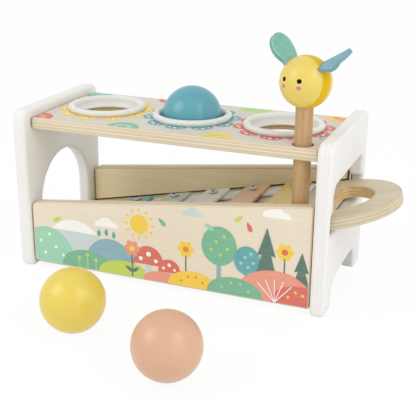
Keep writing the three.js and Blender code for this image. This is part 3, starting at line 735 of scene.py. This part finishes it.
tray = plate("xylophone_tray", [(outline(tray_rim), TRAY_ARRIS), (grip, TRAY_ARRIS)], TRAY_THICKNESS)
wear(tray, tray_birch, routed_and_shade_birch)
soften(tray)
on_tray(tray, (0, 0, -TRAY_THICKNESS / 2))
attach(tray, "xylophone")
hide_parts("tray_board")

# Felt strips.
# Two strips of pale needled felt, 20 mm wide and about 2 mm thick, laid on the tray under the bars' ends.
# The bars rest on them, so that they can ring.
BAR_ROW_Y = 3.4
BAR_X = (-64.3, -26.3, 11.7, 49.7, 87.7)
BAR_LENGTH = (57.2, 62.7, 68.2, 73.7, 79.2)
BACK_SCREW_SHARE = 0.32
FELT_WIDTH = 20
FELT_THICKNESS = 2.3
FELT_LUMP, LUMP_SPACING = 0.15, 7
FELT_BASE = 0.3
FELT_FRONT_INSET = 1.5
FELT_OVERHANG = 15.5
FELT_STEPS = 60


def length_at(x):
    """How long a bar at this place along the row is or would be."""
    return BAR_LENGTH[0] + (BAR_LENGTH[-1] - BAR_LENGTH[0]) * (x - BAR_X[0]) / (BAR_X[-1] - BAR_X[0])


def felt_piece(name, rows, thickness, columns, lump, bow=lambda along, across: 0.0, pinch=lambda along: 1.0):
    """Cut felt from pairs of points (left, right) along its length, slightly uneven, with soft cut edges.

    Its middle layer rises by bow, and its thickness is taken down by pinch. The attribute arris is 1 along
    its cut edges. The cut edges take the piece's second material."""
    places, edges, faces = [], [], []
    for r, (left, right) in enumerate(rows):
        for k in range(columns + 1):
            flat = Vector(left).lerp(Vector(right), k / columns)
            rise = lump * noise.noise(Vector((flat.x / LUMP_SPACING, flat.y / LUMP_SPACING, len(name))))
            places.append(Vector((flat.x, flat.y, rise + bow(flat.x, flat.y))) * MM)
            edges.append(float(k in (0, columns) or r in (0, len(rows) - 1)))
    for r in range(len(rows) - 1):
        for k in range(columns):
            a = r * (columns + 1) + k
            faces.append((a, a + 1, a + columns + 2, a + columns + 1))
    mesh = bpy.data.meshes.new(name)
    mesh.from_pydata(places, [], faces)
    mesh.attributes.new("arris", "FLOAT", "POINT").data.foreach_set("value", edges)
    piece = linked(name, mesh)
    pinched = piece.vertex_groups.new(name="pinched")
    for vertex in mesh.vertices:
        pinched.add([vertex.index], pinch(vertex.co.x / MM), "REPLACE")
    thick = piece.modifiers.new("thickness", "SOLIDIFY")
    thick.thickness = thickness * MM
    thick.vertex_group = pinched.name
    thick.offset = 0
    thick.material_offset_rim = 1
    eased = piece.modifiers.new("eased_edges", "BEVEL")
    eased.width = 0.18 * thickness * MM
    eased.segments = 3
    eased.limit_method = "ANGLE"
    eased.angle_limit = radians(50)
    mesh.shade_smooth()
    return piece


def felt(name, code, lint, frayed_and_highlight):
    """Felt: matt and fuzzy, of matted fibres about 0.05 mm thick, drawn in tufts of 0.7 mm so that they show.

    It is paler along its cut arris, where loose fibres stand out for about 1 mm. This is partly the fibres'
    own paler colour and partly a painted highlight where the arris catches the light."""
    wool, spot = finish(name)
    tufts = speckle(wool, spot, 0.7, 4, 0.7)
    mixed = work(wool, "MULTIPLY_ADD", tufts, 0.7, speckle(wool, spot, 4))
    body = blend(wool, ramp(wool, mixed, 0.62, 1.08), code, lint)
    border = add(wool, "Attribute", {}, attribute_name="arris").outputs["Fac"]
    fuzz_and_highlight = work(wool, "MULTIPLY", ramp(wool, border, 0.2, 0.8, 0.0, 1.4), tufts)
    sheen = {"Sheen Weight": 0.35, "Sheen Roughness": 0.5, "Sheen Tint": linear(lint)}
    # The paler arris is loose fibres and a painted highlight together.
    tint = blend(wool, fuzz_and_highlight, body, frayed_and_highlight)
    coat(wool, tint, 0.95, {"Specular IOR Level": 0.15, **sheen}, mixed, 0.7, 0.3)
    return wool


grey_felt = felt("needled_felt_pale_grey", "#d2d3d1", "#e6e6e4", "#ececea")
strip_ends = (BAR_X[0] - FELT_OVERHANG, BAR_X[-1] + FELT_OVERHANG)
for face in ("front", "back"):
    rows = []
    for k in range(FELT_STEPS + 1):
        x = strip_ends[0] + (strip_ends[1] - strip_ends[0]) * k / FELT_STEPS
        y = BAR_ROW_Y + BACK_SCREW_SHARE * length_at(x)
        if face == "front":
            y = BAR_ROW_Y - length_at(x) / 2 + FELT_FRONT_INSET + FELT_WIDTH / 2
        rows.append(((x, y + FELT_WIDTH / 2), (x, y - FELT_WIDTH / 2)))
    strip = felt_piece(f"felt_strip_{face}", rows, FELT_THICKNESS - 2 * FELT_LUMP, 8, FELT_LUMP)
    wear(strip, grey_felt, grey_felt)
    on_tray(strip, (0, 0, FELT_BASE + FELT_THICKNESS / 2))
    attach(strip, "xylophone")
    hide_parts(f"felt_{face}")

# Bars.
# Five tone bars of 2.5 mm metal strip, each longer than the last to the right, sheared to length with
# the sharp edges broken, then powder-coated in a colour of its own.
BAR_THICKNESS = 2.5
BAR_HALF_WIDTH = 11.5
BAR_CORNER, BAR_ARRIS = 0.9, 0.5
BAR_BASE = 2.8


def powder_coat(name, code):
    """Powder coat on metal: even satin colour with a fine orange peel of about 1 mm."""
    paint, spot = finish(name)
    peel = speckle(paint, spot, 1)
    darker = [0.9 * c for c in linear(code)[:3]] + [1]
    tint = blend(paint, speckle(paint, spot, 22), darker, code)
    rough = ramp(paint, peel, 0, 1, 0.3, 0.4)
    coat(paint, tint, rough, {"IOR": 1.5, "Specular IOR Level": 0.5}, peel, 0.12, 0.06)
    return paint


bar_colours = {
    "teal": "#6fb0b2", "sage": "#c0ccb9", "silver": "#e6e2d8", "rose": "#e0b288", "gold": "#e0c44e"}
for i, (colour, code) in enumerate(bar_colours.items()):
    half = BAR_LENGTH[i] / 2
    rim = [(x * BAR_HALF_WIDTH, y * half, BAR_CORNER) for x, y in ((-1, -1), (1, -1), (1, 1), (-1, 1))]
    bar = plate(f"tone_bar_{i + 1}", [(outline(rim), BAR_ARRIS)], BAR_THICKNESS, 4)
    wear(bar, powder_coat(f"powder_coat_{colour}", code))
    soften(bar)
    on_tray(bar, (BAR_X[i], BAR_ROW_Y, BAR_BASE + BAR_THICKNESS / 2))
    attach(bar, "xylophone")
    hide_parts(f"bar_{i + 1}")

# Screws.
# Ten zinc-plated pan-head screws with a cross recess, two through each bar and the felt into the tray.
# They are driven by hand, so each cross stands at its own angle.
SCREW_BASE = 5.55
FRONT_SCREW_INSET = 5.5
RECESS_HALF_LENGTH, RECESS_HALF_WIDTH, RECESS_FLOOR = 2.3, 0.6, 0.9

# Bright zinc has a fine crystalline haze, some 0.3 mm in life and drawn at 0.6 mm.
zinc, spot = finish("zinc_plated_steel")
haze = speckle(zinc, spot, 0.6, 3)
plated = blend(zinc, haze, "#a3a8ab", "#ccd0d2")
coat(zinc, plated, ramp(zinc, haze, 0, 1, 0.1, 0.24), {"Metallic": 1.0})

# The cross recess is painted in a near-black steel: painted shade in the recess.
recess_shade_steel, spot = finish("steel_recess_painted_shade")
recess_shade = blend(recess_shade_steel, speckle(recess_shade_steel, spot, 0.6), "#2b2c2d", "#47494b")
coat(recess_shade_steel, recess_shade, 0.45, {"Metallic": 1.0})

screw_profile = [(0, -12.55), (1.2, -11.2), (1.5, -10.6), (1.5, 0), (3.35, 0), (3.6, 0.25), (3.6, 0.8)]
screw_profile += bend(1.9, 0.8, 1.7, 1.55, 0, 78) + [(1.2, 2.5), (0, 2.58)]
pattern = turned("screw_pattern", screw_profile, 40)
for turn in (0, pi / 2):
    recess = slab("recess", (-RECESS_HALF_LENGTH, -RECESS_HALF_WIDTH, RECESS_FLOOR),
                  (RECESS_HALF_LENGTH, RECESS_HALF_WIDTH, 4))
    recess.matrix_world = Matrix.Rotation(turn, 4, "Z")
    cut_away(pattern, recess)
wear(pattern, zinc, recess_shade_steel)
# The floor and walls of each recess take the near-black steel, as painted shade.
for polygon in pattern.data.polygons:
    at = polygon.center / MM
    in_reach = at.z > RECESS_FLOOR - 0.05 and at.xy.length < RECESS_HALF_LENGTH + 0.1
    is_floor = polygon.normal.z > 0.99 and at.z < RECESS_FLOOR + 0.3
    is_wall = abs(polygon.normal.z) < 0.02
    if in_reach and (is_floor or is_wall):
        polygon.material_index = 1
for i, (x, length) in enumerate(zip(BAR_X, BAR_LENGTH)):
    screw_places = {"front": BAR_ROW_Y - length / 2 + FRONT_SCREW_INSET,
                    "back": BAR_ROW_Y + BACK_SCREW_SHARE * length}
    for face, y in screw_places.items():
        screw = linked(f"cross_screw_{face}_{i + 1}", pattern.data.copy())
        soften(screw)
        hand_turn = 0.5 + 1.9 * i + 0.03 * y
        on_tray(screw, (x, y, SCREW_BASE), hand_turn)
        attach(screw, "xylophone")
        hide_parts(f"screw_{face}_{i + 1}")
bpy.data.objects.remove(pattern)

# Mallet handle.
# A beech dowel of 13.6 mm, sanded, waxed and rounded at its lower end, glued 20 mm into the head.
# It stands through the top board on the tray, turned so that the head looks half left.
MALLET_TURN = radians(-19.6)
HANDLE_RADIUS = 6.8
handle_low, handle_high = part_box("mallet_handle")
MALLET_FOOT = Vector(((handle_low.x + handle_high.x) / 2, (handle_low.y + handle_high.y) / 2, handle_low.z))
HANDLE_LENGTH = (handle_high.z - handle_low.z) / MM


def on_mallet(piece, at, turn=Matrix.Identity(4)):
    """Puts a piece on the mallet: Z up its handle from its foot, and -Y the way the head looks."""
    mallet_frame = Matrix.Translation(MALLET_FOOT) @ Matrix.Rotation(MALLET_TURN, 4, "Z")
    piece.matrix_world = mallet_frame @ Matrix.Translation(Vector(at) * MM) @ turn


dowel_profile = [(0, 0), (4.9, 0)] + bend(5.3, 1.5, 1.5, 1.5, -80, 0, 6)
dowel_profile += [(HANDLE_RADIUS, HANDLE_LENGTH), (0, HANDLE_LENGTH)]
dowel = turned("mallet_dowel", dowel_profile, 64)
wear(dowel, beech)
soften(dowel)
on_mallet(dowel, (0, 0, 0))
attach(dowel, "mallet")
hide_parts("mallet_handle")

# Mallet head.
# A turned wooden ball of 40 mm with a socket for the dowel and two slots for the wings, sprayed light
# yellow with a deeper yellow band round it, and with printed eyes and cheeks.
HEAD_RADIUS = 19.9
SOCKET_DEPTH, SOCKET_RADIUS, SOCKET_GLUE = 20, 7.0, 0.25
HEAD_MIDDLE = HANDLE_LENGTH + SOCKET_GLUE - SOCKET_DEPTH + HEAD_RADIUS
BAND = (-6.3, 3.0)
BAND_TILT = radians(8.7)
BAND_BLUR = 0.15
FACE_TURN = radians(0.2)
WING_SEAT = radians(43)
SLOT_DEPTH, SLOT_HALF_WIDTH, SLOT_HALF_HEIGHT = 6.2, 6.95, 1.7
socket_top = SOCKET_DEPTH - HEAD_RADIUS
socket_rim = -sqrt(HEAD_RADIUS ** 2 - SOCKET_RADIUS ** 2)
rim_turn = degrees(atan2(socket_rim, SOCKET_RADIUS))
head_profile = [(0, socket_top), (SOCKET_RADIUS, socket_top), (SOCKET_RADIUS, socket_rim)]
head_profile += bend(0, 0, HEAD_RADIUS, HEAD_RADIUS, rim_turn + 0.5, 89.5, 90) + [(0, HEAD_RADIUS)]
head = turned("mallet_ball_head", head_profile, 160)


def satin_coat(paint, spot, colour, gloss, strength):
    """Closes a sprayed satin paint on turned wood, which has a faint unevenness of some 2 mm."""
    uneven = speckle(paint, spot, 2)
    rough = ramp(paint, uneven, 0, 1, 0.285, 0.34)
    coat(paint, colour, rough, {"IOR": 1.48, "Specular IOR Level": gloss}, uneven, strength, 0.08)


# Even light yellow paint. The band was sprayed through a mask in a flatter paint, and the eyes and cheeks
# were pad-printed, so their edges are crisp.
head_paint, spot = finish("sprayed_satin_paint_yellow_head")
colour = blend(head_paint, speckle(head_paint, spot, 14), "#e1c658", "#e6cd63")
tilted = (0, cos(BAND_TILT), -sin(BAND_TILT))
back = add(head_paint, "VectorMath", {0: spot, 1: tilted}, operation="DOT_PRODUCT").outputs["Value"]
near, far = (((edge - BAND_BLUR) * MM, (edge + BAND_BLUR) * MM) for edge in BAND)
band = work(head_paint, "MULTIPLY", ramp(head_paint, back, *near), ramp(head_paint, back, *far, 1.0, 0.0))
colour = blend(head_paint, band, colour, "#d9b304")
flat = band
# The eyes and then the cheeks: degrees up and to each side, half width and height, colour and soft edge.
for height, apart, wide, high, code, edge in (
        (11.4, 20.1, 1.95, 1.85, "#050505", 0.2), (-3.2, 19.8, 2.2, 1.75, "#c685a8", 0.4)):
    for sign in (-1, 1):
        a, e = FACE_TURN + sign * radians(apart), radians(height)
        way = Vector((sin(a) * cos(e), -cos(a) * cos(e), sin(e)))
        local = add(head_paint, "Mapping", {
            "Vector": spot, "Location": way * HEAD_RADIUS * MM, "Rotation": (0, 0, a),
            "Scale": (wide * MM, wide * MM, high * MM)}, vector_type="TEXTURE").outputs[0]
        away = add(head_paint, "VectorMath", {0: local}, operation="LENGTH").outputs["Value"]
        mask = ramp(head_paint, away, 1 - edge / wide, 1.0, 1.0, 0.0)
        colour = blend(head_paint, mask, colour, code)
        flat = work(head_paint, "MAXIMUM", flat, mask)
satin_coat(head_paint, spot, colour, ramp(head_paint, flat, 0, 1, 0.65, 0.12), 0.12)

wing_turns, wing_seats = {}, {}
for side, sign, raised, swept, rolled in (("left", -1, 47, 10, 5), ("right", 1, 32, 5, 18)):
    heading = Matrix.Rotation(radians(swept if sign > 0 else 180 - swept), 4, "Z")
    lift = Matrix.Rotation(-radians(raised), 4, "Y")
    wing_turns[side] = heading @ lift @ Matrix.Rotation(sign * radians(rolled), 4, "X")
    wing_seats[side] = Vector((sign * cos(WING_SEAT), 0, sin(WING_SEAT))) * HEAD_RADIUS
    slot = slab("slot", (-SLOT_DEPTH, -SLOT_HALF_WIDTH, -SLOT_HALF_HEIGHT),
                (25, SLOT_HALF_WIDTH, SLOT_HALF_HEIGHT))
    slot.matrix_world = Matrix.Translation(wing_seats[side] * MM) @ wing_turns[side]
    cut_away(head, slot)
wear(head, head_paint)
soften(head)
on_mallet(head, (0, 0, HEAD_MIDDLE))
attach(head, "mallet")
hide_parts("mallet_head")

# Wings.
# Two petals cut from wool felt, one green and one blue, each with a tab glued in a slot of the head.
# The slot pinches the tab to about 3 mm, and the felt is fuller outside it. The petals stand out at a
# slant, swept back and slightly bowed, and their cut edges fray a little.
WING_THICKNESS = 3
WING_PLAY, WING_SWELL = 0.1, 0.06
WING_ROOT, WING_NECK, WING_WIDEST, WING_TIP = -6.0, 1.5, 12.1, 25.0
WING_HALF_TAB, WING_HALF_WIDTH = 6.75, 9.2
WING_BOW = 1.2
WING_STEPS = 40


def wing_half(u):
    """Half the petal's width at a distance from the head's skin."""
    if u <= WING_NECK:
        return WING_HALF_TAB
    if u <= WING_WIDEST:
        s = (u - WING_NECK) / (WING_WIDEST - WING_NECK)
        return WING_HALF_WIDTH - (WING_HALF_WIDTH - WING_HALF_TAB) * (1 - s) ** 2
    s = (u - WING_WIDEST) / (WING_TIP - WING_WIDEST)
    return WING_HALF_WIDTH * max(0.03, 1 - s ** 2.2) ** 0.5


def wing_rise(u, v, droop, twist):
    """How far the petal's middle layer lies off its flat plane.

    It bows, its front edge droops near the head, and it twists a little outside the slot."""
    share = max(0, u) / WING_TIP
    front = droop * min(0, v) * sin(pi * min(1, share / 0.7))
    return -WING_BOW * sin(pi * share) + front + twist * v * min(1, 2.5 * share)


for side, slot_name, swell, droop, twist, code, lint, cut, frayed_and_highlight in (
        ("left", "green_felt", 3.7, 0.0, -0.06, "#78ae9f", "#89bcac", "#66a08d", "#bcdfd2"),
        ("right", "blue_felt", 3.2, 0.26, 0.0, "#7da4b3", "#8eb2bf", "#6f97a6", "#b8d2dc")):
    rows = []
    for k in range(WING_STEPS + 1):
        u = WING_ROOT + (WING_TIP - WING_ROOT) * sin(pi / 2 * k / WING_STEPS) ** 0.8
        rows.append(((u, wing_half(u)), (u, -wing_half(u))))
    wing = felt_piece(f"felt_wing_{side}", rows, swell, 14, 0.1,
                      lambda u, v: wing_rise(u, v, droop, twist),
                      lambda u: min(1, (WING_THICKNESS - WING_PLAY) / swell + WING_SWELL * max(0, u)))
    # Each wing's cut sides take a darker felt than its faces: painted shade on the sides.
    wear(wing, felt(f"wool_felt_{side}_wing", code, lint, frayed_and_highlight),
         felt(f"wool_felt_{side}_wing_cut_side_shade", cut, code, code))
    on_mallet(wing, wing_seats[side] + Vector((0, 0, HEAD_MIDDLE)), wing_turns[side])
    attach(wing, "mallet")
    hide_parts(f"wing_{side}")

# Balls.
# Three turned hardwood balls of 50 mm, sanded and sprayed in satin paint. One sits on the lip of the
# middle ring, and two lie on the floor in front of the bench.
BALL_RADIUS = 25
BALL_SANDED, BALL_UNEVEN = 0.05, 0.04


def satin_paint(name, code, shade):
    """Sprayed satin paint of one colour, which drifts a little over some 16 mm, with a soft sheen."""
    paint, spot = finish(name)
    satin_coat(paint, spot, blend(paint, speckle(paint, spot, 16), shade, code), 0.9, 0.3)
    return paint


for name, code, shade in (
        ("blue", "#509fac", "#4a98a6"), ("yellow", "#e5cb4d", "#e0c647"), ("peach", "#d7a987", "#d2a280")):
    bm = bmesh.new()
    bmesh.ops.create_cube(bm, size=2)
    bmesh.ops.subdivide_edges(bm, edges=bm.edges[:], cuts=31, use_grid_fill=True)
    for vertex in bm.verts:
        way = Vector([tan(c * pi / 4) for c in vertex.co]).normalized()
        vertex.co = way * (BALL_RADIUS - BALL_SANDED + BALL_UNEVEN * noise.noise(way * 1.7)) * MM
    mesh = bpy.data.meshes.new(f"wooden_ball_{name}")
    bm.to_mesh(mesh)
    bm.free()
    mesh.shade_smooth()
    ball = linked(mesh.name, mesh)
    wear(ball, satin_paint(f"sprayed_satin_paint_{name}", code, shade))
    low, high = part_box(f"ball_{name}")
    ball.matrix_world = Matrix.Translation((low + high) / 2)
    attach(ball, f"{name}_ball")
    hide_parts(f"ball_{name}")

# Studio.
# A white floor and surround, a soft lamp at each side above the camera, and wide weak ones to fill in.
# The floor is plain white to the camera but keeps a faint part of the object's shadow.
PHOTO_SIZE = 416
FOCAL_PIXELS = 864.0
SENSOR_WIDTH = 36
CAMERA_AT = (275.567, -660.667, 313.467)
CAMERA_SHIFT = 0.4
YAW, PITCH, ROLL = 0.376, -0.350, 0.009
LAMPS_AIM_AT = (20, -40, 80)
LAMP_DISTANCE = 1.2
FLOOR_GLOW, AMBIENT_GLOW = 0.93, 0.84


def seen_directly(material):
    """1 for rays from the camera, straight or by way of a mirror or glass, and 0 for light that bounces."""
    rays = add(material, "LightPath", {}).outputs
    mirrored = work(material, "MAXIMUM", rays["Is Camera Ray"], rays["Is Glossy Ray"])
    return work(material, "MAXIMUM", mirrored, rays["Is Transmission Ray"])


scene = bpy.context.scene
scene.view_settings.view_transform = "Standard"
floor_mesh = bpy.data.meshes.new("studio_floor")
floor_mesh.from_pydata([(-6, -6, 0), (6, -6, 0), (6, 6, 0), (-6, 6, 0)], [], [(0, 1, 2, 3)])
floor = linked("studio_floor", floor_mesh)
# A matt white sheet that is mostly lit from within for the camera, so that it stays white.
floor_white = finish("studio_floor_white")[0]
share = work(floor_white, "MULTIPLY", seen_directly(floor_white), FLOOR_GLOW)
matt = add(floor_white, "BsdfDiffuse", {"Color": linear("#fafafa")}).outputs[0]
bright = add(floor_white, "Emission", {"Color": linear("#ffffff"), "Strength": 1.0}).outputs[0]
both = add(floor_white, "MixShader", {0: share, 1: matt, 2: bright}).outputs[0]
add(floor_white, "OutputMaterial", {"Surface": both})
wear(floor, floor_white)

world = bpy.data.worlds.new("studio_surround")
scene.world = world
world.use_nodes = True
world.node_tree.nodes.clear()
ambient = add(world, "Background", {"Color": linear("#ffffff"), "Strength": AMBIENT_GLOW}).outputs[0]
white = add(world, "Background", {"Color": linear("#ffffff"), "Strength": 1.0}).outputs[0]
both = add(world, "MixShader", {0: seen_directly(world), 1: ambient, 2: white}).outputs[0]
add(world, "OutputWorld", {"Surface": both})

forward = Vector((-sin(YAW) * cos(PITCH), cos(YAW) * cos(PITCH), sin(PITCH)))
right = Vector((cos(YAW), sin(YAW), 0))
above = right.cross(forward)
camera_x = right * cos(ROLL) + above * sin(ROLL)
camera_y = above * cos(ROLL) - right * sin(ROLL)
camera = linked("camera", bpy.data.cameras.new("camera"))
camera.data.sensor_width = SENSOR_WIDTH
camera.data.lens = SENSOR_WIDTH * FOCAL_PIXELS / PHOTO_SIZE
camera.data.shift_x = CAMERA_SHIFT / PHOTO_SIZE
camera.data.clip_start = 0.05
view = Matrix((camera_x, camera_y, -forward)).transposed().to_4x4()
camera.matrix_world = Matrix.Translation(BENCH + Vector(CAMERA_AT) * MM) @ view
scene.camera = camera

middle = BENCH + Vector(LAMPS_AIM_AT) * MM
# Each lamp's direction is in the camera's axes, its width in metres and its power in watts.
for name, way, size, power in (
        ("left_softbox", (-0.76, 0.47, 0.45), 0.78, 2.85), ("right_softbox", (0.53, 0.46, 0.71), 0.64, 1.8),
        ("right_panel", (0.92, 0.25, 0.30), 0.7, 0.3), ("front_fill", (0.58, -0.06, 0.81), 1.0, 1.55)):
    lamp = linked(name, bpy.data.lights.new(name, "AREA"))
    lamp.data.shape = "DISK"
    lamp.data.size = size
    lamp.data.energy = power
    aim = (camera_x * way[0] + camera_y * way[1] - forward * way[2]).normalized()
    lamp.location = middle + aim * LAMP_DISTANCE
    lamp.rotation_mode = "QUATERNION"
    lamp.rotation_quaternion = (-aim).to_track_quat("-Z", "Y")
